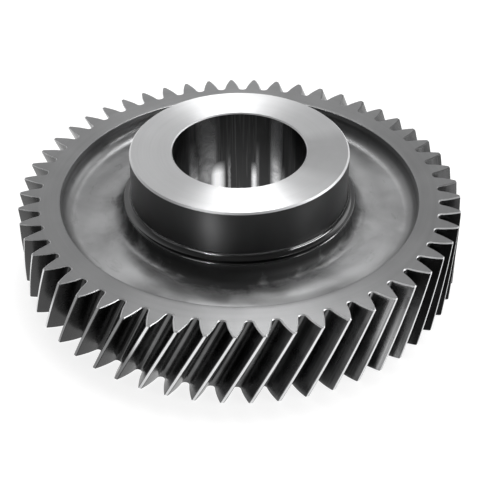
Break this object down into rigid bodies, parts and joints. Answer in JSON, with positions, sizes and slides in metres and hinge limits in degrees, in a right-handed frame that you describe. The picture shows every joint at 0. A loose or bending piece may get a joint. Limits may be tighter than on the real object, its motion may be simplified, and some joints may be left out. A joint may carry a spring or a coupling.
{
  "type": "helical transmission gear",
  "caption": "Helical spur gear with a toothed rim, a recessed web and a tall hub with a plain bore, for a fixed ratio on a gearbox shaft.",
  "frame": {"origin": "on the bore axis, in the plane of the lower end face of the teeth, which the gear lies on", "axes": "+Z along the bore axis, from the flush side to the tall side of the hub; +X and +Y lie in the plane of the end face, and at the upper end face the middle of one tooth is 92.38 degrees round from +X towards +Y"},
  "size_m": [0.2, 0.2, 0.0593],
  "materials": {
    "machined_steel": "forged steel, turned on the hub and rim faces, ground in the bore, hobbed teeth, bare and lightly oiled"
  },
  "bodies": {
    "root": {"gear": "machined_steel"}
  },
  "joints": []
}
